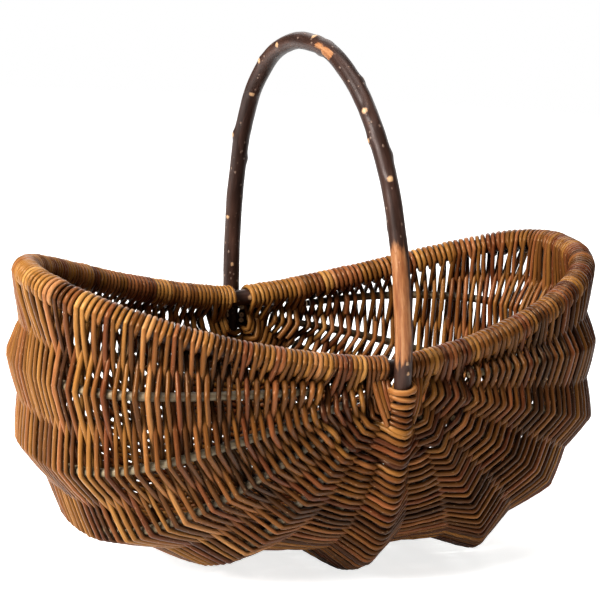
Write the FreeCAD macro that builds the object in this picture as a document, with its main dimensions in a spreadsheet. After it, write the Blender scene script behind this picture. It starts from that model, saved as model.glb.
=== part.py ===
# A frame basket for gathering eggs: two bent rod hoops, ten ribs and a willow weave.
#
# Millimetres. X runs along the basket, Y from the front ear to the rear ear and Z points up.
# An ear is the place where the rim hoop and the handle hoop cross. The origin is on the ground
# under the middle of the basket.
#
# One hoop stands upright: its upper half is the handle and its lower half is the keel. The
# other hoop lies flat inside it and is the rim. Ten ribs run from ear to ear below the rim, five
# on each side of the keel. The weavers run across the ribs from rim to rim, so a row of weaving
# stays at about the same share of every rod's length, counted from its ear.
import FreeCAD, Part
import math
import os
from FreeCAD import Vector

SIZES = [
    ("hoop_diameter", 14.0),
    ("rib_diameter", 7.0),
    ("weaver_diameter", 4.0),
    ("ear_height", 186.7),        # sets the weave under the keel on the ground
    ("ear_half_span", 137.5),
    ("hoop_gap", 0.1),
    ("scarf_gap", 0.4),
    ("keel_depth", 175.0),
    ("keel_squareness", 4.7),
    ("keel_taper", 0.18),         # narrowing of the keel towards its bottom
    ("handle_rise", 238.0),
    ("handle_squareness", 2.23),
    ("handle_lean", -15.0),
    ("handle_lean_power", 1.3),
    ("rim_reach", 250.0),
    ("rim_shear", 0.09),
    ("rim_rise_power", 1.6),
    ("rim_rise_left", 62.0),
    ("rim_rise_right", 56.0),
    ("rim_squareness_left", 2.24),
    ("rim_squareness_right", 2.48),
    ("rib_half_span", 133.5),
    ("root_radius", 26.0),
    ("root_first_angle", 36.0),
    ("root_angle_step", 10.0),
    ("main_rib_start", 20.0),
    ("filler_rib_start", 48.0),
    ("rim_weave_start", 10.0),
    ("keel_weave_start", 18.0),
    ("band_length", 12.0),
    ("row_count", 84.0),
    ("fan_first_row", 4.3),
    ("fan_last_row", 28.0),
    ("shoulder_last_row", 56.0),
    ("joint_gap", 0.3),
    ("skin_clearance", 0.4),
    ("skin_sag", 3.5),
    ("skin_sag_share", 0.07),
]

# Each rib's reach from the middle, its drop below the ears and the squareness of its arch,
# counted from the rim down to the keel. A frame basket is bent by eye, so the sides differ.
RIB_SIZES = {
    "left": [(243, 14, 3.1), (235, 82, 3.0), (200, 141, 2.55), (119, 168, 2.8), (49, 160, 3.1)],
    "right": [(238, 6, 3.1), (241, 75, 3.0), (207, 138, 2.7), (121, 175, 3.8), (55, 164, 3.1)],
}
RIB_WORDS = ("reach", "drop", "squareness")
RIBS_PER_SIDE = 5
SIDES = {"left": -1.0, "right": 1.0}
ENDS = {"front": -1.0, "rear": 1.0}

CURVE_STEPS = 400        # samples along an arch before it is measured
SPLINE_POINTS = 40       # points a rod's centre line is drawn through
HOOP_POINTS = 72         # the same for a whole hoop
GAP_STEPS = 4            # points of a woven row from one rod to the next
ROW_STRIDE = 3           # rows of weaving from one row of surface points to the next


def add_sheet(doc):
    """Put every driving size in one spreadsheet, a name and a value on each line."""
    sheet = doc.addObject("Spreadsheet::Sheet", "Sizes")
    cells = list(SIZES)
    for side, rows in RIB_SIZES.items():
        for number, row in enumerate(rows, 1):
            for word, value in zip(RIB_WORDS, row):
                cells.append(("%s_rib_%s_%s" % (side, "abcde"[number - 1], word), float(value)))
    for line, (name, value) in enumerate(cells, 1):
        sheet.set("A%d" % line, name)
        sheet.set("B%d" % line, repr(value))
        sheet.setAlias("B%d" % line, name)
    doc.recompute()
    return sheet


doc = FreeCAD.newDocument("EggBasket")
sizes = add_sheet(doc)

HOOP_HALF_SPAN = sizes.ear_half_span + sizes.hoop_diameter / 2 + sizes.hoop_gap / 2
RIM_HALF_SPAN = sizes.ear_half_span - sizes.hoop_diameter / 2 - sizes.hoop_gap / 2
WRAP_RADIUS = sizes.hoop_diameter / 2 + sizes.weaver_diameter


# ---------------------------------------------------------------- centre lines of the rods

def arch(half_span, squareness):
    """Yield (y, f) from the front ear to the rear ear, where f is 0 at an ear and 1 midway."""
    for step in range(CURVE_STEPS + 1):
        angle = math.pi * step / CURVE_STEPS
        span = math.cos(angle)
        outward = math.sin(angle)
        reach = (abs(span) ** squareness + abs(outward) ** squareness) ** (-1 / squareness)
        yield -half_span * span * reach, outward * reach


def rim_line(side):
    """Half of the rim: low at the ears and rising to the end of the basket."""
    hand = SIDES[side]
    rise = sizes.getPropertyByName("rim_rise_" + side)
    points = []
    for y, f in arch(RIM_HALF_SPAN, sizes.getPropertyByName("rim_squareness_" + side)):
        shear = 1 + hand * sizes.rim_shear * y / RIM_HALF_SPAN
        x = hand * sizes.rim_reach * f * shear
        points.append(Vector(x, y, sizes.ear_height + rise * f ** sizes.rim_rise_power))
    return points


def keel_line():
    """The lower half of the upright hoop, from the front ear to the rear ear."""
    return [Vector(0, y * (1 - sizes.keel_taper * f * f), sizes.ear_height - sizes.keel_depth * f)
            for y, f in arch(HOOP_HALF_SPAN, sizes.keel_squareness)]


def handle_line():
    """The upper half of the upright hoop. It leans a little along the basket."""
    return [Vector(sizes.handle_lean * f ** sizes.handle_lean_power, y,
                   sizes.ear_height + sizes.handle_rise * f)
            for y, f in arch(HOOP_HALF_SPAN, sizes.handle_squareness)]


def rib_line(side, number):
    """One rib. Its roots stand fanned out round the ears, and the fan fades away from them."""
    hand = SIDES[side]
    stem = "%s_rib_%s_" % (side, "abcde"[number - 1])
    reach, drop, squareness = [sizes.getPropertyByName(stem + word) for word in RIB_WORDS]
    fan = math.radians(sizes.root_first_angle + sizes.root_angle_step * (number - 1))
    root_out = sizes.root_radius * math.cos(fan)
    root_down = sizes.root_radius * math.sin(fan)
    points = []
    for y, f in arch(sizes.rib_half_span, squareness):
        fade = (1 - f) ** 2
        points.append(Vector(hand * (reach * f + root_out * fade), y,
                             sizes.ear_height - drop * f - root_down * fade))
    return points


class Measured:
    """A centre line that knows the distance along it."""

    def __init__(self, points):
        self.points = points
        self.reached = [0.0]
        for before, after in zip(points, points[1:]):
            self.reached.append(self.reached[-1] + before.distanceToPoint(after))
        middle = min(range(len(points)), key=lambda i: abs(points[i].y))
        self.half_length = {"front": self.reached[middle],
                            "rear": self.reached[-1] - self.reached[middle]}

    def at(self, distance):
        """The point at this distance from the front ear."""
        last = len(self.points) - 1
        high = next((i for i in range(1, last) if self.reached[i] >= distance), last)
        span = self.reached[high] - self.reached[high - 1]
        share = (distance - self.reached[high - 1]) / span
        start = self.points[high - 1]
        return start + (self.points[high] - start) * share

    def from_ear(self, end, distance):
        """The point at this distance from the ear named front or rear."""
        return self.at(distance if end == "front" else self.reached[-1] - distance)

    def even(self, first, last, count):
        """Evenly spaced points from one distance to another."""
        return [self.at(first + (last - first) * i / (count - 1)) for i in range(count)]


RIM = {side: Measured(rim_line(side)) for side in SIDES}
KEEL = Measured(keel_line())
HANDLE = Measured(handle_line())
RIBS = {(side, number): Measured(rib_line(side, number))
        for side in SIDES for number in range(1, RIBS_PER_SIDE + 1)}

# The rods in the order a row of weaving meets them, from the left rim to the right rim.
WARPS = ([RIM["left"]] + [RIBS["left", n] for n in range(1, RIBS_PER_SIDE + 1)] + [KEEL]
         + [RIBS["right", n] for n in range(RIBS_PER_SIDE, 0, -1)] + [RIM["right"]])
KEEL_PLACE = RIBS_PER_SIDE + 1


# ---------------------------------------------------------------- rods

def spline(points):
    curve = Part.BSplineCurve()
    curve.interpolate(points)
    return curve


def add_spine(name, curve):
    spine = doc.addObject("Part::Feature", name + "_line")
    spine.Shape = Part.Wire([curve.toShape()])
    return spine


def add_rod(name, curve, radius_formula, frenet=False):
    """Sweep a circle, whose radius comes from the sheet, along a curve from its start."""
    start = curve.FirstParameter
    ring = doc.addObject("Part::Circle", name + "_section")
    ring.setExpression("Radius", radius_formula)
    facing = FreeCAD.Rotation(Vector(0, 0, 1), curve.tangent(start)[0])
    ring.Placement = FreeCAD.Placement(curve.value(start), facing)
    rod = doc.addObject("Part::Sweep", name)
    rod.Sections = [ring]
    rod.Spine = (add_spine(name, curve), ["Edge1"])
    rod.Solid = True
    rod.Frenet = frenet
    rod.Label = name
    return rod


HOOP_RADIUS = "Sizes.hoop_diameter / 2"
RIB_RADIUS = "Sizes.rib_diameter / 2"
SLEEVE_RADIUS = "Sizes.hoop_diameter / 2 + Sizes.weaver_diameter"


def hoop_curve(first_arch, second_arch):
    """One rod bent round two arches. Its two ends meet midway along the first arch."""
    joint = first_arch.half_length["front"]
    gap = sizes.scarf_gap / 2
    quarter = HOOP_POINTS // 4
    from_joint = first_arch.even(joint - gap, 0, quarter)
    round_second = second_arch.even(0, second_arch.reached[-1], HOOP_POINTS // 2)
    to_joint = first_arch.even(first_arch.reached[-1], joint + gap, quarter)
    return spline(from_joint[:-1] + round_second + to_joint[1:])


def rib_start(number):
    """The second and fourth ribs are set at the ears, and the others once the weaving spreads."""
    return sizes.filler_rib_start if number % 2 else sizes.main_rib_start


def add_rib(side, number):
    line = RIBS[side, number]
    start = rib_start(number)
    curve = spline(line.even(start, line.reached[-1] - start, SPLINE_POINTS))
    return add_rod("rib_%s_%d" % (side, number), curve, RIB_RADIUS)


handle_hoop = add_rod("handle_hoop", hoop_curve(KEEL, HANDLE), HOOP_RADIUS, frenet=True)
rim_hoop = add_rod("rim_hoop", hoop_curve(RIM["left"], RIM["right"]), HOOP_RADIUS)
ribs = [add_rib(side, number) for side in SIDES for number in range(1, RIBS_PER_SIDE + 1)]
parts = [handle_hoop, rim_hoop] + ribs


# ---------------------------------------------------------------- sleeves of turned weavers

def add_cut(name, base, tool):
    cut = doc.addObject("Part::Cut", name)
    cut.Base = base
    cut.Tool = tool
    cut.Label = name
    return cut


def add_sleeve(name, line, end, first, last, hoop):
    """Weavers wound round a hoop between two distances from an ear, as one closed sleeve."""
    points = [line.from_ear(end, first + (last - first) * i / (SPLINE_POINTS - 1))
              for i in range(SPLINE_POINTS)]
    core = add_rod(name + "_full", spline(points), SLEEVE_RADIUS)
    return add_cut(name, core, hoop)


rim_sleeves = []
ear_bands = []
for end in ENDS:
    for side in SIDES:
        rim_sleeves.append(add_sleeve(
            "%s_rim_wrap_%s" % (end, side), RIM[side], end, sizes.rim_weave_start,
            RIM[side].half_length[end] - sizes.joint_gap / 2, rim_hoop))
    ear_bands.append(add_sleeve(
        end + "_ear_band", KEEL, end, sizes.keel_weave_start,
        sizes.keel_weave_start + sizes.band_length, handle_hoop))
parts += rim_sleeves + ear_bands


# ---------------------------------------------------------------- the woven wall

def row_distance(place, end, row):
    """How far from its ear a row crosses the rod at this place in the order of rods."""
    toward_keel = 1 - abs(place - KEEL_PLACE) / KEEL_PLACE
    start = sizes.rim_weave_start
    start += toward_keel * (sizes.keel_weave_start - sizes.rim_weave_start)
    half = WARPS[place].half_length[end]
    return start + (half - start) * row / sizes.row_count


def row_points(end, row):
    """The crossings of one row with every rod, and the outward direction at each of them."""
    places = range(len(WARPS))
    crossings = [WARPS[p].from_ear(end, row_distance(p, end, row)) for p in places]
    outward = []
    for place, here in enumerate(crossings):
        across = crossings[min(place + 1, len(WARPS) - 1)] - crossings[max(place - 1, 0)]
        nearer = WARPS[place].from_ear(end, row_distance(place, end, row) - 1)
        normal = across.cross(here - nearer) * ENDS[end]
        outward.append(normal.normalize())
    return crossings, outward


def lift_over(place, crossings):
    """How far the skin's inner face stands off the rod's axis so that it clears a sharp turn."""
    if place in (0, len(WARPS) - 1):
        return -sizes.weaver_diameter / 2
    rod = sizes.hoop_diameter if place == KEEL_PLACE else sizes.rib_diameter
    turn = (crossings[place] - crossings[place - 1]).getAngle(
        crossings[place + 1] - crossings[place])
    return (rod / 2 + sizes.skin_clearance) / math.cos(turn / 2)


def skin_row(end, row, thickness):
    """One row of surface points, from the left rim wrap over every rod to the right one."""
    crossings, outward = row_points(end, row)
    last = len(WARPS) - 1
    lifts = [lift_over(place, crossings) for place in range(last + 1)]
    skin = []
    for place in range(last):
        gap = crossings[place + 1] - crossings[place]
        clear_of_wrap = (WRAP_RADIUS + sizes.skin_clearance) / gap.Length
        low = clear_of_wrap if place == 0 else 0
        high = 1 - clear_of_wrap if place == last - 1 else 1
        sag = min(sizes.skin_sag, gap.Length * sizes.skin_sag_share)
        for step in range(GAP_STEPS + (place == last - 1)):
            share = low + (high - low) * step / GAP_STEPS
            normal = (outward[place] * (1 - share) + outward[place + 1] * share).normalize()
            lift = lifts[place] * (1 - share) + lifts[place + 1] * share
            lift += thickness - sag * math.sin(math.pi * share) ** 2
            skin.append(crossings[place] + gap * share + normal * lift)
    return skin


def woven_solid(end, first, last):
    """A closed sheet between two rows: two skins and the four narrow edges between them."""
    count = max(2, round((last - first) / ROW_STRIDE)) + 1
    rows = [first + (last - first) * i / (count - 1) for i in range(count)]
    skins = []
    for thickness in (sizes.weaver_diameter, 0):
        skin = Part.BSplineSurface()
        skin.interpolate([skin_row(end, row, thickness) for row in rows])
        skins.append(skin)
    faces = [skin.toShape() for skin in skins]
    outer, inner = skins
    low_u, high_u, low_v, high_v = outer.bounds()
    for u in (low_u, high_u):
        faces.append(Part.makeRuledSurface(outer.uIso(u).toShape(), inner.uIso(u).toShape()))
    for v in (low_v, high_v):
        faces.append(Part.makeRuledSurface(outer.vIso(v).toShape(), inner.vIso(v).toShape()))
    shell = Part.Shell(faces)
    shell.sewShape()
    solid = Part.makeSolid(Part.Shell(shell.Faces))
    if solid.Volume < 0:
        solid.reverse()
    return solid


WALLS = [("fan", sizes.fan_first_row, sizes.fan_last_row),
         ("shoulder", sizes.fan_last_row, sizes.shoulder_last_row),
         ("side", sizes.shoulder_last_row, sizes.row_count)]
ROW_PITCH = RIM["left"].half_length["front"] / sizes.row_count
EDGE_TRIM = sizes.joint_gap / 2 / ROW_PITCH
for end in ENDS:
    for region, first, last in WALLS:
        wall = doc.addObject("Part::Feature", "%s_weave_%s" % (end, region))
        wall.Label = wall.Name
        wall.Shape = woven_solid(end, first + EDGE_TRIM, last - EDGE_TRIM)
        parts.append(wall)


# ---------------------------------------------------------------- checks and files

doc.recompute()
for thing in doc.Objects:
    bad = [word for word in thing.State if word in ("Invalid", "Error")]
    if bad:
        raise RuntimeError("%s did not build: %s" % (thing.Label, bad))
os.makedirs("parts", exist_ok=True)
for part in parts:
    shape = part.Shape
    if shape.isNull() or not shape.isValid() or shape.Volume <= 0 or not shape.Solids:
        raise RuntimeError("%s is not a sound solid" % part.Label)
    print("%-22s %d solid %9.1f mm3" % (part.Label, len(shape.Solids), shape.Volume))
for part in parts:
    part.Shape.exportStep(os.path.join("parts", part.Label + ".step"))
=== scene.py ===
import math

import bpy
import numpy as np
from mathutils import Matrix, Vector


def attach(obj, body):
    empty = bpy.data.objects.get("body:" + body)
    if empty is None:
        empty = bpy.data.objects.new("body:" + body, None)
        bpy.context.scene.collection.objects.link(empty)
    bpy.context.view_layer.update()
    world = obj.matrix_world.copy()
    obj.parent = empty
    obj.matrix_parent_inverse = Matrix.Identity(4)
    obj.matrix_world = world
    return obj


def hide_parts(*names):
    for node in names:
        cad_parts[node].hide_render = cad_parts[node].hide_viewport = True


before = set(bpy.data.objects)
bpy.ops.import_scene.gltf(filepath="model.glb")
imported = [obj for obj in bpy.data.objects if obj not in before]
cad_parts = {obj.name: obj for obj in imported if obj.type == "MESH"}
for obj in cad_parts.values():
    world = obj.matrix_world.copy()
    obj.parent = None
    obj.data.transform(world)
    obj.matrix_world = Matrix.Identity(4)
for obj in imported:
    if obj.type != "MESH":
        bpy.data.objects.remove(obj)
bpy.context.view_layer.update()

MM = 0.001
rng = np.random.default_rng(11)

# ---------------------------------------------------------------- the rods' centre lines, as in the CAD

EAR_HEIGHT = 186.7
HOOP_RADIUS = 7.0
RIB_RADIUS = 3.5
HOOP_HALF_SPAN = 144.55
RIM_HALF_SPAN = 130.45
RIB_HALF_SPAN = 133.5
ROW_COUNT = 84
HALF_ROWS = ROW_COUNT - 0.5    # the last row stops half a row short of the middle
KEEL_START = 31.0        # where the rows begin along the keel, past the bands at the ear
SIDES = {"left": -1.0, "right": 1.0}
ENDS = {"front": -1.0, "rear": 1.0}
RIB_SIZES = {               # for ribs 1 to 5: reach, drop, squareness
    "left": [(243, 14, 3.1), (235, 82, 3.0), (200, 141, 2.55), (119, 168, 2.8), (49, 160, 3.1)],
    "right": [(238, 6, 3.1), (241, 75, 3.0), (207, 138, 2.7), (121, 175, 3.8), (55, 164, 3.1)],
}
RIM_SIZES = {"left": (62.0, 2.24), "right": (56.0, 2.48)}    # rise, squareness
RIM_REACH = 250.0
RIM_SKEW = 0.09          # the rim is longer at the front on the left, and at the rear on the right
RIM_RISE_POWER = 1.6
KEEL_SQUARENESS = 4.7
KEEL_TAPER = 0.18        # narrowing of the keel towards its bottom
KEEL_DEPTH = 175.0
HANDLE_SQUARENESS = 2.23
HANDLE_RISE = 238.0
HANDLE_LEAN = 15.0       # how far the handle leans to the left at its top
HANDLE_LEAN_POWER = 1.3
RIB_ROOT = 26.0          # distance of the ribs' roots from the ear, as they fan out round it
RIB_FAN_START = 36.0     # degrees below level of the first rib's root
RIB_FAN_STEP = 10.0
ARCH_POINTS = 401


def unit(vector):
    return vector / np.linalg.norm(vector)


def arch(half_span, squareness):
    """(y, f) from the front ear to the rear ear, where f is 0 at an ear and 1 midway."""
    angle = np.linspace(0, math.pi, ARCH_POINTS)
    span = np.cos(angle)
    outward = np.sin(angle)
    reach = (abs(span) ** squareness + abs(outward) ** squareness) ** (-1 / squareness)
    return -half_span * span * reach, outward * reach


class Line:
    """A centre line that knows the distance along it."""

    def __init__(self, points):
        self.points = np.array(points, float)
        steps = np.linalg.norm(np.diff(self.points, axis=0), axis=1)
        self.reached = np.concatenate([[0.0], np.cumsum(steps)])
        self.length = self.reached[-1]
        middle = int(np.argmin(abs(self.points[:, 1])))
        self.half = {"front": self.reached[middle], "rear": self.length - self.reached[middle]}

    def at(self, distance):
        return np.array([np.interp(distance, self.reached, self.points[:, k]) for k in range(3)]).T

    def from_ear(self, end, distance):
        return self.at(distance if end == "front" else self.length - distance)

    def away(self, end, distance):
        """The direction along the line, away from this ear."""
        ahead = self.from_ear(end, distance + 1.5)
        return unit(ahead - self.from_ear(end, distance - 1.5))


def rim_line(side):
    hand = SIDES[side]
    rise, squareness = RIM_SIZES[side]
    y, f = arch(RIM_HALF_SPAN, squareness)
    x = hand * RIM_REACH * f * (1 + hand * RIM_SKEW * y / RIM_HALF_SPAN)
    return Line(np.column_stack([x, y, EAR_HEIGHT + rise * f ** RIM_RISE_POWER]))


def keel_line():
    y, f = arch(HOOP_HALF_SPAN, KEEL_SQUARENESS)
    return Line(np.column_stack([0 * y, y * (1 - KEEL_TAPER * f * f), EAR_HEIGHT - KEEL_DEPTH * f]))


def handle_line():
    y, f = arch(HOOP_HALF_SPAN, HANDLE_SQUARENESS)
    lean = -HANDLE_LEAN * f ** HANDLE_LEAN_POWER
    return Line(np.column_stack([lean, y, EAR_HEIGHT + HANDLE_RISE * f]))


def rib_line(side, number):
    hand = SIDES[side]
    reach, drop, squareness = RIB_SIZES[side][number - 1]
    fan = math.radians(RIB_FAN_START + RIB_FAN_STEP * (number - 1))
    y, f = arch(RIB_HALF_SPAN, squareness)
    root = RIB_ROOT * (1 - f) ** 2
    x = hand * (reach * f + root * math.cos(fan))
    return Line(np.column_stack([x, y, EAR_HEIGHT - drop * f - root * math.sin(fan)]))


RIM = {side: rim_line(side) for side in SIDES}
KEEL = keel_line()
HANDLE = handle_line()
RIBS = {(side, n): rib_line(side, n) for side in SIDES for n in range(1, 6)}
WARPS = ([RIM["left"]] + [RIBS["left", n] for n in range(1, 6)] + [KEEL]
         + [RIBS["right", n] for n in range(5, 0, -1)] + [RIM["right"]])
LAST = len(WARPS) - 1
KEEL_PLACE = 6
# The row that first meets each rib. Where ribs join, two rows running pass the same side of the
# keel. These rows are chosen so that it is the outside, and the keel isn't left bare.
RIB_JOINS = {1: 16, 2: 7, 3: 16, 4: 0, 5: 16}
# How far each rib's tip is from its root.
RIB_TIPS = {1: 48.0, 2: 20.0, 3: 48.0, 4: 20.0, 5: 48.0}


def is_rim(place):
    return place in (0, LAST)


def rib_number(place):
    return place if place < KEEL_PLACE else LAST - place


def rod_radius(place):
    return HOOP_RADIUS if is_rim(place) or place == KEEL_PLACE else RIB_RADIUS


# ---------------------------------------------------------------- meshes of round rods

def ring_frames(points):
    """Two directions square to the path at every point, carried along without twist."""
    ahead = np.gradient(points, axis=0)
    ahead /= np.linalg.norm(ahead, axis=1)[:, None]
    helper = np.array([0.0, 0.0, 1.0]) if abs(ahead[0][2]) < 0.9 else np.array([1.0, 0.0, 0.0])
    side = unit(np.cross(ahead[0], helper))
    sides = []
    for direction in ahead:
        side = unit(side - direction * side.dot(direction))
        sides.append(side)
    sides = np.array(sides)
    return sides, np.cross(ahead, sides)


class Tubes:
    """Collects many rods into one mesh, with the distance along and the turn round each as UVs."""

    def __init__(self, name, count, exact=True):
        self.name = name
        self.count = count
        self.exact = exact
        self.verts = []
        self.normals = []
        self.faces = []
        self.uvs = []
        self.marks = []
        self.cap_faces = []
        self.total = 0

    def add(self, points, radii, mark, start=0.0, caps=(True, True), frames=None):
        """mark is a colour of four numbers for the whole rod, or one for every ring vertex."""
        sides, ups = frames or ring_frames(points)
        rings = len(points)
        turn = np.arange(self.count) * 2 * math.pi / self.count
        radii = np.asarray(radii, float)
        if radii.ndim == 1:
            radii = np.repeat(radii[:, None], self.count, axis=1)
        spokes = (np.cos(turn)[None, :, None] * sides[:, None, :]
                  + np.sin(turn)[None, :, None] * ups[:, None, :])
        shell = points[:, None, :] + spokes * radii[:, :, None]
        along = start + np.concatenate(
            [[0], np.cumsum(np.linalg.norm(np.diff(points, axis=0), axis=1))])
        base = self.total
        self.verts.append(shell.reshape(-1, 3))
        self.normals.append(spokes.reshape(-1, 3))
        mark = np.asarray(mark, float)
        if mark.ndim == 1:
            mark = np.tile(mark, (rings * self.count, 1))
        self.marks.append(mark.reshape(-1, 4))
        self.total += rings * self.count
        i = np.repeat(np.arange(rings - 1), self.count)
        j = np.tile(np.arange(self.count), rings - 1)
        k = (j + 1) % self.count
        quads = np.column_stack([base + i * self.count + j, base + i * self.count + k,
                                 base + (i + 1) * self.count + k, base + (i + 1) * self.count + j])
        self.faces.append(quads)
        u = along * MM
        v = j / self.count
        w = (j + 1) / self.count
        self.uvs.append(np.stack([np.column_stack([u[i], v]), np.column_stack([u[i], w]),
                                  np.column_stack([u[i + 1], w]), np.column_stack([u[i + 1], v])],
                                 axis=1))
        for wanted, ring, order in ((caps[0], 0, -1), (caps[1], rings - 1, 1)):
            if wanted:
                self.add_cap(points[ring], shell[ring], mark.reshape(rings, -1, 4)[ring][0], order,
                             np.cross(sides[ring], ups[ring]) * order)

    def add_cap(self, centre, ring, mark, order, facing):
        """A cut end: a fan of triangles whose UV holds the distance from the pith."""
        base = self.total
        self.verts.append(np.vstack([ring, centre[None, :]]))
        self.normals.append(np.tile(facing, (len(ring) + 1, 1)))
        self.marks.append(np.tile(mark, (len(ring) + 1, 1)))
        self.total += len(ring) + 1
        for j in range(len(ring)):
            k = (j + 1) % len(ring)
            a, b = (j, k) if order > 0 else (k, j)
            self.cap_faces.append((base + a, base + b, base + len(ring)))

    def build(self, skin, cut):
        quads = np.concatenate(self.faces)
        caps = np.array(self.cap_faces, int).reshape(-1, 3)
        verts = np.concatenate(self.verts) * MM
        mesh = bpy.data.meshes.new(self.name)
        loops = np.concatenate([quads.ravel(), caps.ravel()])
        starts = np.concatenate([np.arange(len(quads)) * 4,
                                 len(quads) * 4 + np.arange(len(caps)) * 3])
        mesh.vertices.add(len(verts))
        mesh.vertices.foreach_set("co", verts.ravel())
        mesh.loops.add(len(loops))
        mesh.loops.foreach_set("vertex_index", loops.astype(np.int32))
        mesh.polygons.add(len(starts))
        mesh.polygons.foreach_set("loop_start", starts.astype(np.int32))
        mesh.update(calc_edges=True)
        flat = np.zeros(len(starts), bool)
        flat[len(quads):] = True
        mesh.polygons.foreach_set("use_smooth", ~flat)
        mesh.materials.append(skin)
        mesh.materials.append(cut)
        mesh.polygons.foreach_set("material_index", flat.astype(np.int32))
        uv = mesh.uv_layers.new(name="Along")
        body = np.concatenate(self.uvs).reshape(-1, 2)
        cap = np.tile([[0.0, 1.0], [0.0, 1.0], [0.0, 0.0]], (len(caps), 1))
        uv.data.foreach_set("uv", np.concatenate([body, cap]).ravel())
        colour = mesh.color_attributes.new("Rod", "FLOAT_COLOR", "POINT")
        colour.data.foreach_set("color", np.concatenate(self.marks).ravel())
        mesh.validate()
        if self.exact:
            mesh.normals_split_custom_set_from_vertices(np.concatenate(self.normals))
        made = bpy.data.objects.new(self.name, mesh)
        bpy.context.scene.collection.objects.link(made)
        return made


# ---------------------------------------------------------------- materials

GAP_REACH = 0.011        # metres over which neighbouring rods shade each other


class Nodes:
    """A short way to write a node material."""

    def __init__(self, name):
        self.material = bpy.data.materials.new(name)
        self.material.use_nodes = True
        self.tree = self.material.node_tree
        self.shader = self.tree.nodes["Principled BSDF"]

    def add(self, kind, inputs=None, **settings):
        node = self.tree.nodes.new(kind)
        for key, value in settings.items():
            setattr(node, key, value)
        for key, value in (inputs or {}).items():
            self.put(node.inputs[key], value)
        return node

    def put(self, socket, value):
        if isinstance(value, bpy.types.NodeSocket):
            self.tree.links.new(value, socket)
        else:
            socket.default_value = value

    def math(self, operation, first, second=0.0, clamp=False):
        node = self.add("ShaderNodeMath", operation=operation, use_clamp=clamp)
        self.put(node.inputs[0], first)
        self.put(node.inputs[1], second)
        return node.outputs[0]

    def ramp(self, value, stops, interpolation="LINEAR"):
        node = self.add("ShaderNodeValToRGB")
        node.color_ramp.interpolation = interpolation
        elements = node.color_ramp.elements
        while len(elements) < len(stops):
            elements.new(0.5)
        for element, (position, colour) in zip(elements, stops):
            element.position = position
            element.color = colour if len(colour) == 4 else (*colour, 1.0)
        self.put(node.inputs[0], value)
        return node.outputs[0]

    def grey(self, value, low, high):
        """value stretched so that low becomes 0 and high becomes 1."""
        node = self.add("ShaderNodeMapRange", clamp=True)
        self.put(node.inputs[0], value)
        node.inputs[1].default_value = low
        node.inputs[2].default_value = high
        return node.outputs[0]

    def mix(self, factor, first, second, blend="MIX"):
        node = self.add("ShaderNodeMix", data_type="RGBA", blend_type=blend)
        self.put(node.inputs[0], factor)
        self.put(node.inputs[6], first)
        self.put(node.inputs[7], second)
        return node.outputs[2]

    def noise(self, vector, scale, detail=3.0, roughness=0.55):
        return self.add("ShaderNodeTexNoise", {"Vector": vector, "Scale": scale, "Detail": detail,
                                               "Roughness": roughness}).outputs["Fac"]

    def bump(self, height, strength, distance):
        node = self.add("ShaderNodeBump", {"Height": height, "Strength": strength,
                                           "Distance": distance})
        self.put(self.shader.inputs["Normal"], node.outputs[0])

    def paint_gap_shade(self, colour):
        """Painted shade between the rods, where little light gets in: the colour darkens towards near
        black where ambient occlusion finds other rods close by.
        """
        open_sky = self.add("ShaderNodeAmbientOcclusion", {"Distance": GAP_REACH}, samples=4)
        factor = self.grey(open_sky.outputs["AO"], 0.18, 0.92)
        return self.mix(factor, self.mix(0.90, colour, (0.004, 0.002, 0.001, 1.0)), colour)

    def rod_vector(self, along_scale, round_scale, seed):
        """Texture space wrapped round a rod: distance along it, and a circle for the turn."""
        uv = self.add("ShaderNodeUVMap", uv_map="Along").outputs[0]
        split = self.add("ShaderNodeSeparateXYZ", {"Vector": uv})
        turn = self.math("MULTIPLY", split.outputs[1], 2 * math.pi)
        x = self.math("MULTIPLY", self.math("COSINE", turn), round_scale)
        y = self.math("MULTIPLY", self.math("SINE", turn), round_scale)
        y = self.math("ADD", y, self.math("MULTIPLY", seed, 37.0))
        z = self.math("MULTIPLY", split.outputs[0], along_scale)
        return self.add("ShaderNodeCombineXYZ", {0: x, 1: y, 2: z}).outputs[0]


def colour_marks(nodes):
    """The four numbers each rod's vertices carry."""
    mark = nodes.add("ShaderNodeVertexColor", layer_name="Rod")
    split = nodes.add("ShaderNodeSeparateColor", {0: mark.outputs[0]})
    return split.outputs[0], split.outputs[1], split.outputs[2]


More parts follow.
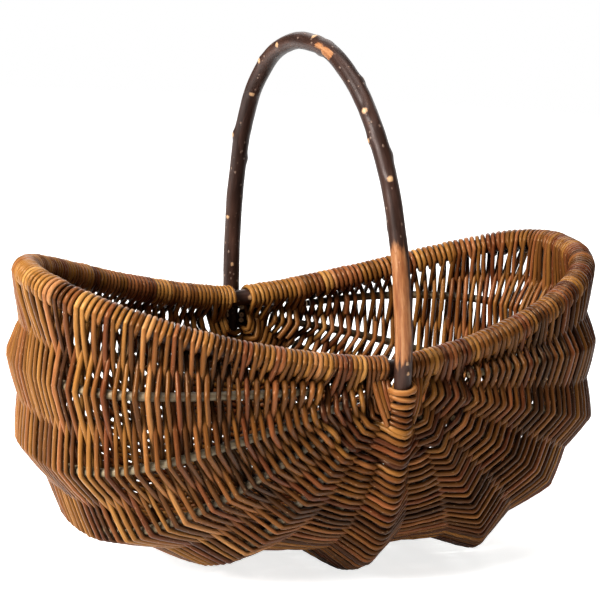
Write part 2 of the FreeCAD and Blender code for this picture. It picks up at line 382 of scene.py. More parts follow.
def willow_material():
    """Willow with its bark on. Each rod has its own tone and warmth, streaked along its length."""
    n = Nodes("willow_bark")
    tone, warmth, seed = colour_marks(n)
    streaks = n.noise(n.rod_vector(60.0, 2.2, seed), 1.0, 4.0, 0.6)
    patches = n.noise(n.rod_vector(22.0, 0.5, seed), 1.0, 2.0)
    grain = n.noise(n.rod_vector(420.0, 2.6, seed), 1.0, 2.0, 0.7)
    shade = n.math("ADD", tone, n.math("MULTIPLY", n.math("SUBTRACT", patches, 0.5), 0.55))
    shade = n.math("ADD", shade, n.math("MULTIPLY", n.math("SUBTRACT", streaks, 0.5), 0.35),
                   clamp=True)
    golden = n.ramp(shade, [(0.0, (0.010, 0.0034, 0.0012)), (0.25, (0.038, 0.0118, 0.0028)),
                            (0.5, (0.122, 0.0405, 0.0075)), (0.75, (0.270, 0.108, 0.021)),
                            (1.0, (0.480, 0.235, 0.065))])
    russet = n.ramp(shade, [(0.0, (0.010, 0.0030, 0.0015)), (0.25, (0.037, 0.0090, 0.0035)),
                            (0.5, (0.110, 0.027, 0.0078)), (0.75, (0.240, 0.077, 0.023)),
                            (1.0, (0.430, 0.190, 0.075))])
    colour = n.mix(n.grey(warmth, 0.35, 0.75), golden, russet)
    scars = n.add("ShaderNodeTexVoronoi", {"Vector": n.rod_vector(150.0, 0.9, seed), "Scale": 1.0})
    scar = n.grey(scars.outputs["Distance"], 0.16, 0.08)
    colour = n.mix(n.math("MULTIPLY", scar, 0.55), colour, (0.42, 0.25, 0.12, 1.0))
    # painted shade: the willow's base colour is darkened in the gaps between rods
    n.put(n.shader.inputs["Base Color"], n.paint_gap_shade(colour))
    rough = n.math("ADD", n.math("MULTIPLY", streaks, 0.35), 0.13)
    n.put(n.shader.inputs["Roughness"], rough)
    n.put(n.shader.inputs["Specular IOR Level"], 0.26)
    n.put(n.shader.inputs["Specular Tint"], (1.0, 0.64, 0.38, 1.0))
    height = n.math("ADD", n.math("MULTIPLY", streaks, 0.5), n.math("MULTIPLY", grain, 0.25))
    height = n.math("ADD", height, n.math("MULTIPLY", scar, 0.5))
    n.bump(height, 0.6, 0.0006)
    return n.material


def bark_material():
    """Dark hazel bark with pale pores, tan knots and places rubbed down to orange wood."""
    n = Nodes("hoop_bark")
    worn, knot, seed = colour_marks(n)
    streaks = n.noise(n.rod_vector(35.0, 2.0, seed), 1.0, 4.0, 0.6)
    clouds = n.noise(n.rod_vector(18.0, 0.8, seed), 1.0, 3.0)
    colour = n.ramp(clouds, [(0.25, (0.009, 0.0038, 0.0025)), (0.5, (0.025, 0.0103, 0.0066)),
                             (0.68, (0.050, 0.0220, 0.0140)), (0.8, (0.092, 0.041, 0.025))])
    colour = n.mix(n.math("MULTIPLY", n.grey(streaks, 0.5, 0.75), 0.6), colour,
                   (0.070, 0.034, 0.025, 1.0))
    pores = n.add("ShaderNodeTexVoronoi", {"Vector": n.rod_vector(130.0, 1.3, seed), "Scale": 1.0})
    pore = n.grey(pores.outputs["Distance"], 0.2, 0.1)
    colour = n.mix(n.math("MULTIPLY", pore, 0.5), colour, (0.27, 0.17, 0.12, 1.0))
    ragged = n.math("ADD", worn, n.math("MULTIPLY", n.math("SUBTRACT", streaks, 0.5), 1.1))
    rubbed_and_painted_light = n.grey(ragged, 0.42, 0.62)
    wood = n.ramp(streaks, [(0.3, (0.15, 0.042, 0.013)), (0.5, (0.28, 0.105, 0.036)),
                            (0.7, (0.42, 0.21, 0.095))])
    colour = n.mix(n.math("MULTIPLY", rubbed_and_painted_light, 0.92), colour, wood)
    knotted = n.math("ADD", knot, n.math("MULTIPLY", n.math("SUBTRACT", streaks, 0.5), 0.5))
    tan = n.ramp(n.grey(knotted, 0.4, 1.0), [(0.0, (0.05, 0.03, 0.022)), (0.35, (0.36, 0.20, 0.10)),
                                             (0.8, (0.52, 0.33, 0.17)), (1.0, (0.22, 0.12, 0.07))])
    colour = n.mix(n.grey(knotted, 0.34, 0.5), colour, tan)
    n.put(n.shader.inputs["Base Color"], colour)
    n.put(n.shader.inputs["Roughness"], n.math("ADD", n.math("MULTIPLY", streaks, 0.35), 0.24))
    n.put(n.shader.inputs["Specular IOR Level"], 0.27)
    n.put(n.shader.inputs["Specular Tint"], (1.0, 0.86, 0.80, 1.0))
    height = n.math("ADD", n.math("MULTIPLY", streaks, 0.6), n.math("MULTIPLY", pore, 0.5))
    n.bump(height, 0.55, 0.0009)
    return n.material


def peeled_material():
    """Peeled willow: cream wood with a green tinge and fine grain."""
    n = Nodes("peeled_rib")
    tone, _, seed = colour_marks(n)
    streaks = n.noise(n.rod_vector(25.0, 2.4, seed), 1.0, 4.0, 0.6)
    shade = n.math("ADD", n.math("MULTIPLY", streaks, 0.7), n.math("MULTIPLY", tone, 0.3))
    colour = n.ramp(shade, [(0.3, (0.17, 0.10, 0.045)), (0.5, (0.30, 0.215, 0.11)),
                            (0.7, (0.42, 0.33, 0.19))])
    # painted shade: the ribs' base colour is darkened where the weavers crowd round them
    n.put(n.shader.inputs["Base Color"], n.paint_gap_shade(colour))
    n.put(n.shader.inputs["Roughness"], n.math("ADD", n.math("MULTIPLY", streaks, 0.2), 0.5))
    n.bump(streaks, 0.35, 0.0004)
    return n.material


def cut_material():
    """A sawn or snipped end: pale wood round a darker pith."""
    n = Nodes("cut_end")
    _, _, seed = colour_marks(n)
    uv = n.add("ShaderNodeUVMap", uv_map="Along").outputs[0]
    radius = n.add("ShaderNodeSeparateXYZ", {"Vector": uv}).outputs[1]
    texture = n.add("ShaderNodeTexCoord").outputs["Object"]
    speckle = n.noise(texture, 1500.0, 2.0)
    radius = n.math("ADD", radius, n.math("MULTIPLY", n.math("SUBTRACT", speckle, 0.5), 0.25))
    colour = n.ramp(radius, [(0.0, (0.20, 0.115, 0.05)), (0.22, (0.30, 0.18, 0.085)),
                             (0.38, (0.60, 0.45, 0.26)), (0.85, (0.50, 0.34, 0.18)),
                             (1.0, (0.12, 0.065, 0.03))])
    n.put(n.shader.inputs["Base Color"], colour)
    n.put(n.shader.inputs["Roughness"], n.math("ADD", n.math("MULTIPLY", seed, 0.05), 0.65))
    n.bump(speckle, 0.4, 0.0003)
    return n.material


WILLOW = willow_material()
BARK = bark_material()
PEELED = peeled_material()
CUT = cut_material()


def finish_piece(tubes, skin, node):
    """Make the mesh, which rides on the one body and stands for this CAD node."""
    made = tubes.build(skin, CUT)
    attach(made, "root")
    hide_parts(node)


# ---------------------------------------------------------------- hoops

HOOP_STEP = 2.0
SPOKES = 28
KNOTTED_CORE = 0.62      # how much of a knot's mound has the knot's colour
END_FADE = 20            # rings at each end over which the bends of a hoop fade out
SWELLING = 0.022
OVALNESS = 0.015


def smooth_noise(count, step, scale, seed):
    """A gentle wander along a rod: slow waves whose lengths and phases the seed sets."""
    waves = np.random.default_rng(seed)
    place = np.arange(count) * step
    total = np.zeros(count)
    for octave in range(1, 5):
        length = scale / octave * waves.uniform(0.8, 1.25)
        total += np.sin(2 * math.pi * place / length + waves.uniform(0, 6.28)) / octave
    return total / 2


def hoop_points(line):
    count = int(line.length / HOOP_STEP) + 1
    return line.at(np.linspace(0, line.length, count))


def closed_path(first, second):
    """Both arches as one path, whose two ends meet midway along the first."""
    one = hoop_points(first)
    two = hoop_points(second)
    half = len(one) // 2
    return np.vstack([one[:half + 1][::-1], two[1:-1], one[half:][::-1]])


def hoop(name, path, knots, worn, seed, node, wobble):
    """A bark-on rod: slightly crooked, uneven in thickness, with knots and rubbed places."""
    tubes = Tubes(name, SPOKES, exact=False)
    count = len(path)
    order = np.arange(count)
    from_end = np.minimum(order, count - 1 - order)

    def wander(scale, offset):
        """Waves about this many millimetres long, as a column."""
        return smooth_noise(count, HOOP_STEP, scale, seed + offset)[:, None]

    sides, ups = ring_frames(path)
    fade = np.minimum(1, from_end / END_FADE)[:, None]
    path = path + (sides * wander(210, 0) + ups * wander(170, 1)) * wobble * fade
    sides, ups = ring_frames(path)
    turn = np.arange(SPOKES) * 2 * math.pi / SPOKES
    spokes = (np.cos(turn)[None, :, None] * sides[:, None, :]
              + np.sin(turn)[None, :, None] * ups[:, None, :])
    radii = np.full((count, SPOKES), HOOP_RADIUS)
    radii *= 1 + SWELLING * wander(60, 2)
    radii *= 1 + OVALNESS * np.cos(2 * (turn[None, :] + wander(150, 3)))
    marks = np.zeros((count, SPOKES, 4))
    marks[..., 2] = (seed * 0.137) % 1
    marks[..., 3] = 1
    surface = path[:, None, :] + spokes * radii[:, :, None]
    for spot, facing, width, height in knots:
        centre = spot + unit(np.array(facing, float)) * HOOP_RADIUS
        gap = np.linalg.norm(surface - centre, axis=2)
        mound = np.exp(-(gap / width) ** 2)
        radii += height * mound
        marks[..., 1] = np.maximum(marks[..., 1], np.exp(-(gap / (width * KNOTTED_CORE)) ** 2))
    for spot, facing, length, width in worn:
        facing = unit(np.array(facing, float))
        lengthwise = np.linalg.norm(path - spot, axis=1)[:, None] / length
        sideways = (1 - (spokes @ facing)) / width
        marks[..., 0] = np.maximum(marks[..., 0], np.exp(-lengthwise ** 4 - sideways ** 2))
    tubes.add(path, radii, marks.reshape(-1, 4), caps=(True, True))
    finish_piece(tubes, BARK, node)


def on_handle(share):
    """A point on the handle, where share 0 is the front ear and 1 the rear ear."""
    return HANDLE.at(share * HANDLE.length)


def handle_knots():
    """Knots as (where, which way they face, width, height)."""
    spots = [            # share of the way along the handle, then as above
        (0.625, (-0.99, 0.11, 0.06), 4.4, 1.2), (0.683, (-0.60, -0.62, -0.51), 4.4, 0.9),
        (0.574, (-0.90, -0.40, 0.12), 4.4, 1.0), (0.483, (-0.44, -0.50, 0.75), 4.8, 1.3),
        (0.470, (-0.20, -0.40, -0.80), 3.6, 1.0), (0.763, (-0.95, 0.31, 0.06), 4.6, 1.6),
        (0.331, (-0.80, -0.50, 0.30), 4.8, 1.3), (0.240, (-0.37, -0.87, 0.34), 4.6, 1.2),
        (0.378, (0.80, -0.40, 0.30), 4.2, 1.1), (0.272, (0.95, -0.20, 0.10), 4.4, 1.1),
        (0.290, (-0.85, 0.40, 0.10), 4.2, 1.0), (0.800, (0.95, -0.20, 0.05), 4.2, 1.0),
        (0.885, (-0.94, -0.34, -0.10), 3.6, 0.7), (0.62, (0.60, 0.70, 0.30), 4.4, 1.2),
        (0.45, (0.60, 0.60, 0.50), 4.4, 1.2), (0.18, (-0.30, 0.95, 0.00), 4.4, 1.2),
        (0.014, (-0.10, -0.99, 0.00), 3.2, 1.0), (0.001, (0.05, -0.99, 0.00), 3.4, 1.1),
        (0.955, (-0.40, -0.90, 0.10), 3.2, 0.6),
    ]
    return [(on_handle(share), facing, width, height) for share, facing, width, height in spots]


def rear_knot():
    """The round knot on the bare stretch of the rim beside the rear ear."""
    spot = RIM["right"].from_ear("rear", 6.0)
    return [(spot, (0.25, -1.0, 0.15), 4.4, 0.8)]


def handle_worn():
    """Rubbed places as (where, which way they face, length, share of the way round)."""
    return [
        (on_handle(0.086), (-0.80, -0.60, 0.0), 50.0, 0.95),
        (on_handle(0.458), (-0.85, -0.50, 0.25), 7.0, 0.16),
        (on_handle(0.436), (-0.95, -0.30, 0.10), 8.0, 0.20),
    ]


hoop("handle_rod", closed_path(KEEL, HANDLE), handle_knots(), handle_worn(), 3, "handle_hoop", 0.9)
hoop("rim_rod", closed_path(RIM["left"], RIM["right"]), rear_knot(), [], 8, "rim_hoop", 0.0)


# ---------------------------------------------------------------- ribs

RIB_STEP = 4.0
RIB_TIP_TAPER = 0.22
RIB_UNEVENNESS = 0.03


def build_ribs():
    for (side, number), line in RIBS.items():
        start = RIB_TIPS[number]
        distances = np.arange(start, line.length - start, RIB_STEP)
        points = line.at(distances)
        share = np.linspace(-1, 1, len(points))
        radii = RIB_RADIUS * (1 - RIB_TIP_TAPER * share ** 6)
        radii = radii * (1 + RIB_UNEVENNESS * smooth_noise(len(points), RIB_STEP, 90, number * 7))
        tubes = Tubes("peeled_rib_%s_%d" % (side, number), 14)
        tone = rng.uniform(0.2, 0.9)
        tubes.add(points, radii, (tone, 0.5, rng.uniform(), 1.0))
        finish_piece(tubes, PEELED, "rib_%s_%d" % (side, number))


build_ribs()


# ---------------------------------------------------------------- weaving

STRAND = 2.10            # radius of an ordinary weaver
RIB_WEAVE_START = 3.5    # where the rows begin along a rib, from its root
PASS_START = 8.0         # first turn round the rim, from the ear

FAN_ROWS = 28            # rows before this one are in the fan
SHOULDER_ROWS = 56       # rows from there to this one are in the shoulder, and the rest in the side

# Rows lie closer together near the ears: the power that spreads them along each rod.
RIB_SPREADS = {1: 1.13, 2: 1.13, 3: 1.13, 4: 1.10, 5: 1.06}
KEEL_SPREAD = 1.05
RIM_SPREAD = 1.04
# Rows on the upper three ribs move out by a share of the rear half's length, most at its middle.
REAR_SHIFT = {"left": 0.02, "right": 0.06}
REAR_SHIFT_START = 0.15
JOIN_PULL = 5.5          # how far the first row on rib 1 or 3 is drawn towards the row before it
JOIN_PULL_ROWS = 8       # and how many rows it takes to fade
CROWDED_ROWS = 20        # rows squeezed together on the second rib, beside the ear
CROWDING = 0.7
UNEVEN_CROSSING = 0.42   # spread of the rows' places where they cross a rod
UNEVEN_ROW = 0.2         # and of each whole row's place


def row_distance(place, end, row):
    """How far from its ear a row crosses the keel or the rib at this place."""
    half = WARPS[place].half[end]
    if place == KEEL_PLACE:
        return KEEL_START + (half - KEEL_START) * (row / HALF_ROWS) ** KEEL_SPREAD
    number = rib_number(place)
    share = (row / HALF_ROWS) ** RIB_SPREADS[number]
    if end == "rear" and number < 4:
        shift = REAR_SHIFT["left" if place < KEEL_PLACE else "right"]
        past = max(0.0, row / HALF_ROWS - REAR_SHIFT_START) / (1 - REAR_SHIFT_START)
        share += shift * math.sin(math.pi * past) ** 2
    distance = RIB_WEAVE_START + (half - RIB_WEAVE_START) * share
    if number in (1, 3):
        distance -= JOIN_PULL * math.exp((RIB_JOINS[number] - row) / JOIN_PULL_ROWS)
    if number == 2 and row < CROWDED_ROWS:
        distance *= 1 - CROWDING * (1 - row / CROWDED_ROWS) ** 2
    return distance


def side_of(order, row):
    """+1 where the row passes outside a rod and -1 inside, for the rod's order in the row."""
    return 1 if (order + row) % 2 == 0 else -1


# The chance that a turn goes round the rim twice, which grows with each turn from the ear.
DOUBLED_FIRST = 0.25
DOUBLED_STEP = 0.05
DOUBLED_MOST = 0.68


class RimTurns:
    """Where the weaver goes round one half of the rim. Some turns go round twice."""

    def __init__(self, end, side):
        self.line = RIM[side]
        self.end = end
        self.side = side
        self.place = 0 if side == "left" else LAST
        turns = ROW_COUNT // 2 + (side == "left")
        doubled = np.clip(DOUBLED_FIRST + DOUBLED_STEP * np.arange(turns), 0, DOUBLED_MOST)
        self.loops = [2 if draw < chance else 1
                      for draw, chance in zip(rng.uniform(size=turns), doubled)]
        total = sum(self.loops)
        self.reach = self.line.half[end] - PASS_START
        self.pitch = self.reach / total
        self.first = []
        self.last = []
        count = 0
        for loops in self.loops:
            self.first.append(PASS_START + self.reach * ((count + 0.5) / total) ** RIM_SPREAD)
            self.last.append(
                PASS_START + self.reach * ((count + loops - 0.5) / total) ** RIM_SPREAD)
            count += loops

    def frame_at(self, distance):
        """The rim's centre, its direction away from the ear, outward, and up the wall."""
        distance = min(distance, self.line.half[self.end])
        centre = self.line.from_ear(self.end, distance)
        away = self.line.away(self.end, distance)
        rib_place = 1 if self.place == 0 else LAST - 1
        rib = WARPS[rib_place]
        share = distance / self.line.half[self.end]
        below = rib.from_ear(self.end, max(RIB_WEAVE_START, share * rib.half[self.end]))
        up = centre - below
        up = unit(up - away * up.dot(away))
        outward = np.cross(away, up)
        if outward.dot(np.array([centre[0], centre[1], 0.0])) < 0:
            outward = -outward
        return centre, away, outward, up


TURNS = {(end, side): RimTurns(end, side) for end in ENDS for side in SIDES}


TURN_STEPS = 8           # straight pieces in half a turn round the rim
# The share of its own radius that a weaver stands off a rod's surface, as it is pulled tight.
OFF_RIM = 0.92
OFF_ROD = 0.96


def turn_path(turns, number, radius):
    """The weaver's path round the rim, from outside over the top to inside."""
    quarter = turns.pitch / 4
    loops = turns.loops[number]
    first = turns.first[number] - quarter
    last = turns.last[number] + quarter
    sweep = math.pi + 2 * math.pi * (loops - 1)
    steps = TURN_STEPS * (2 * loops - 1)
    lift = HOOP_RADIUS + radius * OFF_RIM
    points = []
    for i in range(steps + 1):
        share = i / steps
        angle = sweep * share
        # A right turn starts outside, near the ear. A left one ends outside, away from it.
        if turns.side == "right":
            distance = first + (last - first) * share
        else:
            distance = last - (last - first) * share
        centre, away, outward, up = turns.frame_at(distance)
        points.append(centre + (outward * math.cos(angle) + up * math.sin(angle)) * lift)
    return np.array(points)


def rim_end(turns, row):
    """Where a row leaves this rim: the distance from the ear, and the turn's number."""
    quarter = turns.pitch / 4
    outside = row % 2 == 0
    if turns.side == "right":
        number = row // 2
        near_ear = outside
    else:
        number = (row + 1) // 2
        near_ear = not outside
    distance = turns.first[number] - quarter if near_ear else turns.last[number] + quarter
    return distance, number


def present(place, row):
    """Whether a row meets the rod at this place."""
    return is_rim(place) or place == KEEL_PLACE or row >= RIB_JOINS[rib_number(place)]


def row_crossings(end, row):
    """The rods that a row crosses, with the point and the outward direction at each."""
    places = [p for p in range(LAST + 1) if present(p, row)]
    jitter = rng.normal(0, UNEVEN_CROSSING, len(places)) + rng.normal(0, UNEVEN_ROW)
    rows = []
    for place, shake in zip(places, jitter):
        if is_rim(place):
            turns = TURNS[end, "left" if place == 0 else "right"]
            distance, _ = rim_end(turns, row)
            centre, away, outward, _ = turns.frame_at(distance)
            rows.append([place, centre, outward, away])
        else:
            distance = row_distance(place, end, row) + shake
            line = WARPS[place]
            rows.append([place, line.from_ear(end, distance), None, line.away(end, distance)])
    for i, item in enumerate(rows):
        if item[2] is None:
            across = unit(rows[i + 1][1] - item[1]) + unit(item[1] - rows[i - 1][1])
            outward = np.cross(across, item[3]) * ENDS[end]
            item[2] = unit(outward)
    return rows


PATH_STEP = 4.2          # rough length of the straight pieces that a row is made of
MOST_STEPS = 18          # most of those between two rods
NEAR_POINTS = 9          # points on each side of a crossing that are kept clear of its rod


def row_path(end, row, radius):
    """The centre line of one row, from the left rim to the right rim."""
    rows = row_crossings(end, row)
    points = []
    crossings = []
    normals = []
    for i in range(len(rows) - 1):
        place, here, normal, _ = rows[i]
        next_place, there, next_normal, _ = rows[i + 1]
        low = side_of(i, row) * (rod_radius(place) + radius)
        high = side_of(i + 1, row) * (rod_radius(next_place) + radius)
        length = np.linalg.norm(there - here)
        steps = int(np.clip(round(length / PATH_STEP), 5, MOST_STEPS))
        if KEEL_PLACE in (place, next_place):
            steps += 3
        crossings.append(len(points))
        for step in range(steps):
            share = (1 - math.cos(math.pi * step / steps)) / 2
            facing = unit(normal * (1 - share) + next_normal * share)
            swing = 0.5 * math.cos(math.pi * share) + 0.5 * (1 - 2 * share)
            offset = (low + high) / 2 + (low - high) / 2 * swing
            base = here + (there - here) * share
            points.append(base + facing * offset)
            normals.append(facing)
    crossings.append(len(points))
    place, here, normal, _ = rows[-1]
    points.append(here + normal * side_of(len(rows) - 1, row) * (rod_radius(place) + radius))
    normals.append(normal)
    points = np.array(points)
    for _ in range(2):
        push_clear(points, rows, crossings, radius)
        points[1:-1] = points[1:-1] * 0.7 + (points[:-2] + points[2:]) * 0.15
    push_clear(points, rows, crossings, radius)
    places = [item[0] for item in rows]
    return points, np.array(normals), crossings, places


def push_clear(points, rows, crossings, radius):
    """Move points that would be inside a rod out to its surface."""
    for (place, here, _, along), index in zip(rows, crossings):
        if is_rim(place):
            continue
        low = max(0, index - NEAR_POINTS)
        near = points[low:index + NEAR_POINTS + 1]
        gap = near - here
        gap = gap - np.outer(gap @ along, along)
        size = np.linalg.norm(gap, axis=1)
        need = rod_radius(place) + radius * OFF_ROD
        short = (size < need) & (size > 1e-6)
        near[short] += gap[short] / size[short][:, None] * (need - size[short])[:, None]


def region_of(row):
    if row < FAN_ROWS:
        return "fan"
    return "shoulder" if row < SHOULDER_ROWS else "side"


def weaver_path(end):
    """The whole weaver of one end, row after row, as points, normals, tags and joints."""
    points = []
    normals = []
    tags = []
    inner = []                  # where a new rod may start: inside a rib
    opening = turn_path(TURNS[end, "left"], 0, STRAND)[::-1][:-1]
    points.append(opening)
    normals.append(np.tile([0.0, ENDS[end], 0.0], (len(opening), 1)))
    tags += ["wrap_left"] * len(opening)
    for row in range(ROW_COUNT):
        path, facing, crossings, places = row_path(end, row, STRAND)
        count = sum(len(p) for p in points)
        if row % 2:
            path = path[::-1]
            facing = facing[::-1]
            crossings = [len(path) - 1 - c for c in crossings]
        for order, (crossing, place) in enumerate(zip(crossings, places)):
            if not is_rim(place) and place != KEEL_PLACE and side_of(order, row) < 0:
                inner.append(count + crossing)
        points.append(path)
        normals.append(facing)
        tags += [region_of(row)] * len(path)
        side = "left" if row % 2 else "right"
        turns = TURNS[end, side]
        _, number = rim_end(turns, row)
        if number < len(turns.loops):
            loop = turn_path(turns, number, STRAND)
            if side == "left":
                loop = loop[::-1]
            # The loop's two ends are also the ends of the rows that it joins.
            last_row = row == ROW_COUNT - 1
            keep = loop[1:] if last_row else loop[1:-1]
            points.append(keep)
            normals.append(np.tile(facing[-1], (len(keep), 1)))
            tags += ["wrap_" + side] * len(keep)
    return np.vstack(points), np.vstack(normals), tags, sorted(inner)


# Painted light: the weavers' tone is raised where they turn round the rim, so that the rim reads
# brighter.
RIM_PAINTED_LIGHT = {"front": 0.13, "rear": 0.04}

# Painted light and shade in the weavers' tone: the front darkens to the right, away from the key light,
# and the rear is painted lighter.
FRONT_TONE = 0.502
FRONT_PAINTED_SHADE_FALL = 0.00072     # for each millimetre to the right
REAR_TONE_PAINTED_LIGHTER = 0.59
TONE_SPREAD = 0.10
ODD_ROD = 0.10           # chance of a much darker rod, and of a much lighter one
ODD_DARKER = 0.16
ODD_LIGHTER = 0.14


def rod_colour(centre):
    """Tone, warmth and seed of a new rod. Each rod's tone differs at random, and on top of that holds
    painted light and shade: the left end is painted lighter and the right front darker, as the key
    light falls from the left, and the rear is painted lighter.
    """
    tone = FRONT_TONE - FRONT_PAINTED_SHADE_FALL * centre[0] if centre[1] < 0 else REAR_TONE_PAINTED_LIGHTER
    tone += rng.normal(0, TONE_SPREAD)
    warmth = rng.uniform(0.0, 0.95) + 0.0004 * centre[0]
    if rng.uniform() < ODD_ROD:
        tone -= ODD_DARKER
    if rng.uniform() < ODD_ROD:
        tone += ODD_LIGHTER
    return (float(np.clip(tone, 0.24, 0.95)), float(np.clip(warmth, 0, 1)),
            float(rng.uniform()), 1.0)


def add_rod_runs(groups, path, radii, tags, mark):
    """Put one rod's parts into the meshes of the regions that it passes through."""
    begin = 0
    tone = mark[0]
    sides, ups = ring_frames(path)
    start = float(rng.uniform(0, 400))
    along = start + np.concatenate(
        [[0], np.cumsum(np.linalg.norm(np.diff(path, axis=0), axis=1))])
    for i in range(1, len(path) + 1):
        if i == len(path) or tags[i] != tags[begin]:
            stop = min(i + 1, len(path))
            end = "front" if path[begin][1] < 0 else "rear"
            # painted light: turns round the rim get a raised tone
            rubbed_and_painted_light = RIM_PAINTED_LIGHT[end] if tags[begin].startswith("wrap") else 0.0
            mark = (min(1.0, tone + rubbed_and_painted_light), *mark[1:])
            if stop - begin >= 2:
                groups[tags[begin]].add(path[begin:stop], radii[begin:stop], mark,
                                        start=along[begin],
                                        caps=(begin == 0, i == len(path)),
                                        frames=(sides[begin:stop], ups[begin:stop]))
            begin = i


ROD_LENGTHS = (520, 1100)
SHORTEST_LAST_ROD = 200
FAN_THICKNESS = 1.15     # least thickness of a rod that starts in the fan, over an ordinary one
FAN_ROD_LENGTH = 0.5     # length of such a rod, over an ordinary one
TUCK_DEPTH = 3.7         # how far inside the old rod a new one starts
TUCK_LENGTH = 26         # and the length over which it comes out
TUCK_BEFORE = 11         # how long a new rod lies on the old one before the joint
TUCK_AFTER = 8           # and how long the old one goes on after it
BUD_CHANCE = 0.09


def weave(end):
    """Cut the weaver of one end into rods, and put them into meshes by region."""
    points, normals, tags, inner = weaver_path(end)
    steps = np.concatenate([[0], np.cumsum(np.linalg.norm(np.diff(points, axis=0), axis=1))])
    groups = {tag: Tubes("%s_%s_weavers" % (end, tag), 8)
              for tag in ("fan", "shoulder", "side", "wrap_left", "wrap_right")}
    begin = 0
    while begin < len(points) - 1:
        short = FAN_ROD_LENGTH if tags[begin] == "fan" else 1.0
        target = steps[begin] + rng.uniform(*ROD_LENGTHS) * short
        later = [i for i in inner
                 if steps[i] > target and steps[-1] - steps[i] > SHORTEST_LAST_ROD]
        stop = later[0] if later else len(points) - 1
        first = begin
        while first > 0 and steps[begin] - steps[first] < TUCK_BEFORE:
            first -= 1
        last = stop
        while last < len(points) - 1 and steps[last] - steps[stop] < TUCK_AFTER:
            last += 1
        path = points[first:last + 1].copy()
        place = steps[first:last + 1]
        if begin > 0:
            tuck = np.clip(1 - (place - steps[first]) / TUCK_LENGTH, 0, 1)
            depth = TUCK_DEPTH * (tuck ** 2 * (3 - 2 * tuck))
            path -= normals[first:last + 1] * depth[:, None]
        share = (place - place[0]) / max(1.0, place[-1] - place[0])
        thick = STRAND * rng.uniform(0.9, 1.14)
        if tags[begin] == "fan":
            thick = max(thick, STRAND * FAN_THICKNESS)
        budding = rng.uniform(size=len(path)) < BUD_CHANCE
        buds = np.where(budding, rng.uniform(0.05, 0.16, len(path)), 0)
        radii = thick * (1.08 - 0.20 * share) * (1 + rng.normal(0, 0.02, len(path)) + buds)
        mark = rod_colour(points[(first + last) // 2])
        add_rod_runs(groups, path, radii, tags[first:last + 1], mark)
        begin = stop
    for tag, tubes in groups.items():
        node = "%s_rim_%s" if tag.startswith("wrap") else "%s_weave_%s"
        finish_piece(tubes, WILLOW, node % (end, tag))


EAR_DROPS = 4            # on each side of each ear
DROP_RADIUS = 2.1
DROP_TOP = 8.6           # where the first drop starts along the rim, from the ear
DROP_TOP_PITCH = 4.4
DROP_FOOT = 22.0         # and where it ends along the keel
DROP_FOOT_PITCH = 6.5
# The bands, as (distance down the keel, tilt, radius), and how far round the keel they go.
BANDS = [(13.5, 1.2, 2.45), (19.4, -0.8, 2.3), (25.0, 0.4, 2.15)]
BAND_TURN = math.radians(140)
BAND_POINTS = 41
BAND_SAG = 2.6           # how much lower a band is at its middle than at its ends


def add_ear_drops(tubes, end):
    """Short weavers that come down from the rim on both sides of the ear, behind the bands."""
    for side, hand in SIDES.items():
        for number in range(EAR_DROPS):
            top = RIM[side].from_ear(end, DROP_TOP + DROP_TOP_PITCH * number)
            foot = KEEL.from_ear(end, DROP_FOOT + DROP_FOOT_PITCH * number)
            outward = np.array([0.0, ENDS[end], 0.0])
            top = top + outward * 4.5 - np.array([0.0, 0.0, 5.0])
            foot = foot + np.array([hand * (8.8 + 0.8 * number), 0.0, 0.0]) + outward * 1.0
            points = []
            for share in np.linspace(0, 1, 15):
                bow = math.sin(math.pi * share)
                points.append(top + (foot - top) * share + outward * 2.2 * bow
                              + np.array([hand * 1.6 * bow, 0.0, 0.0]))
            mark = (float(rng.uniform(0.5, 0.66)), float(rng.uniform(0.2, 0.8)),
                    float(rng.uniform()), 1.0)
            radii = DROP_RADIUS * (1 + rng.normal(0, 0.015, len(points)))
            tubes.add(np.array(points), radii, mark, start=float(rng.uniform(0, 300)))


def ear_bands(end):
    """Weavers bowed across the keel under the ear, with their ends tucked inside."""
    tubes = Tubes(end + "_ear_bands", 12)
    for distance, tilt, radius in BANDS:
        centre = KEEL.from_ear(end, distance)
        down = KEEL.away(end, distance)
        outward = np.array([0.0, ENDS[end], 0.0])
        outward = unit(outward - down * outward.dot(down))
        across = np.cross(down, outward) * -ENDS[end]
        points = []
        for angle in np.linspace(-BAND_TURN, BAND_TURN, BAND_POINTS):
            turn = abs(angle) / BAND_TURN
            reach = HOOP_RADIUS + radius + 3.0 * max(0.0, turn - 0.55)
            sag = -BAND_SAG * turn ** 2 + tilt * math.sin(angle)
            points.append(centre + outward * math.cos(angle) * reach
                          + across * math.sin(angle) * reach + down * sag)
        mark = (float(rng.uniform(0.68, 0.76)), float(rng.uniform(0.45, 0.6)),
                float(rng.uniform()), 1.0)
        radii = radius * (1 + rng.normal(0, 0.012, len(points)))
        tubes.add(np.array(points), radii, mark, start=float(rng.uniform(0, 300)))
    add_ear_drops(tubes, end)
    finish_piece(tubes, WILLOW, end + "_ear_band")


for end in ENDS:
    weave(end)
    ear_bands(end)


# ---------------------------------------------------------------- floor, light and camera

FLOOR_EDGE = 3.0
FLOOR_FADE = 0.9         # from here outwards the floor fades away
FLOOR_GLOW = 0.08
FLOOR_GLOW_SEEN = 0.70   # added where the camera sees the floor itself
WORLD_LIGHT = 0.09


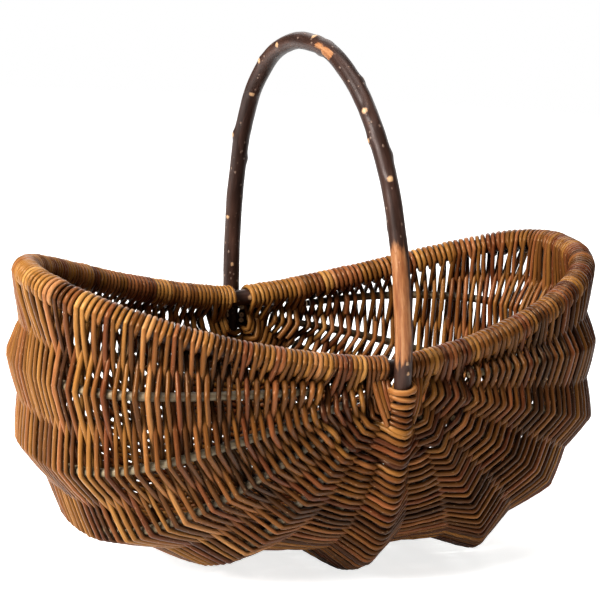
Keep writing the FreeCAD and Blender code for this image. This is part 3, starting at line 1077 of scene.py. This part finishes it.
def add_floor():
    """A plain pale floor that fades into the equally pale background."""
    mesh = bpy.data.meshes.new("floor")
    size = FLOOR_EDGE
    mesh.from_pydata([(-size, -size, 0), (size, -size, 0), (size, size, 0), (-size, size, 0)],
                     [], [(0, 1, 2, 3)])
    floor = bpy.data.objects.new("floor", mesh)
    bpy.context.scene.collection.objects.link(floor)
    n = Nodes("pale_floor")
    n.put(n.shader.inputs["Base Color"], (0.92, 0.92, 0.915, 1.0))
    n.put(n.shader.inputs["Roughness"], 0.9)
    n.put(n.shader.inputs["Specular IOR Level"], 0.0)
    n.put(n.shader.inputs["Emission Color"], (1.0, 1.0, 0.99, 1.0))
    seen = n.add("ShaderNodeLightPath").outputs["Is Camera Ray"]
    glow = n.math("ADD", n.math("MULTIPLY", seen, FLOOR_GLOW_SEEN), FLOOR_GLOW)
    n.put(n.shader.inputs["Emission Strength"], glow)
    place = n.add("ShaderNodeTexCoord").outputs["Object"]
    far = n.add("ShaderNodeVectorMath", {0: place}, operation="LENGTH").outputs["Value"]
    n.put(n.shader.inputs["Alpha"], n.grey(far, FLOOR_EDGE - 0.1, FLOOR_FADE))
    mesh.materials.append(n.material)


def add_light(name, place, target, size, power):
    lamp = bpy.data.lights.new(name, "AREA")
    lamp.size = size
    lamp.energy = power
    made = bpy.data.objects.new(name, lamp)
    made.location = place
    made.rotation_euler = (Vector(target) - Vector(place)).to_track_quat("-Z", "Y").to_euler()
    bpy.context.scene.collection.objects.link(made)


def add_world():
    """White as the camera sees it, and dimmer as a light, so that gaps in the weave stay dark."""
    world = bpy.data.worlds.new("studio")
    world.use_nodes = True
    tree = world.node_tree
    background = tree.nodes["Background"]
    background.inputs[0].default_value = (1.0, 1.0, 1.0, 1.0)
    seen = tree.nodes.new("ShaderNodeLightPath").outputs["Is Camera Ray"]
    strength = tree.nodes.new("ShaderNodeMapRange")
    strength.inputs[3].default_value = WORLD_LIGHT
    strength.inputs[4].default_value = 1.0
    tree.links.new(seen, strength.inputs[0])
    tree.links.new(strength.outputs[0], background.inputs[1])
    bpy.context.scene.world = world


def add_camera():
    azimuth = math.radians(-29.93)
    elevation = math.radians(12.45)
    roll = math.radians(2.83)
    distance = 1.8995
    target = Vector((0.0015, 0.0, 0.2127))
    right = Vector((math.cos(azimuth), math.sin(azimuth), 0))
    back = Vector((math.sin(azimuth) * math.cos(elevation),
                   -math.cos(azimuth) * math.cos(elevation), math.sin(elevation)))
    up = back.cross(right)
    rolled_right = right * math.cos(roll) + up * math.sin(roll)
    rolled_up = up * math.cos(roll) - right * math.sin(roll)
    data = bpy.data.cameras.new("camera")
    data.sensor_width = 36.0
    data.lens = 138.9
    data.shift_x = -0.0243
    camera = bpy.data.objects.new("camera", data)
    turn = Matrix((rolled_right, rolled_up, back)).transposed()
    camera.matrix_world = Matrix.Translation(target + back * distance) @ turn.to_4x4()
    bpy.context.scene.collection.objects.link(camera)
    bpy.context.scene.camera = camera


add_floor()
add_world()
add_light("key", (-3.1, -0.5, 1.9), (0, 0, 0.15), 1.4, 292)
add_light("fill", (2.4, -2.0, 1.2), (0, 0, 0.15), 1.8, 2)
add_light("top", (-0.3, -0.3, 3.2), (0, 0, 0), 1.6, 64)
add_light("back", (1.2, 2.6, 1.9), (0, 0, 0.15), 2.0, 34)
add_light("end", (3.1, 1.3, 1.4), (0, 0, 0.15), 2.0, 26)
add_camera()
bpy.context.scene.view_settings.view_transform = "Standard"
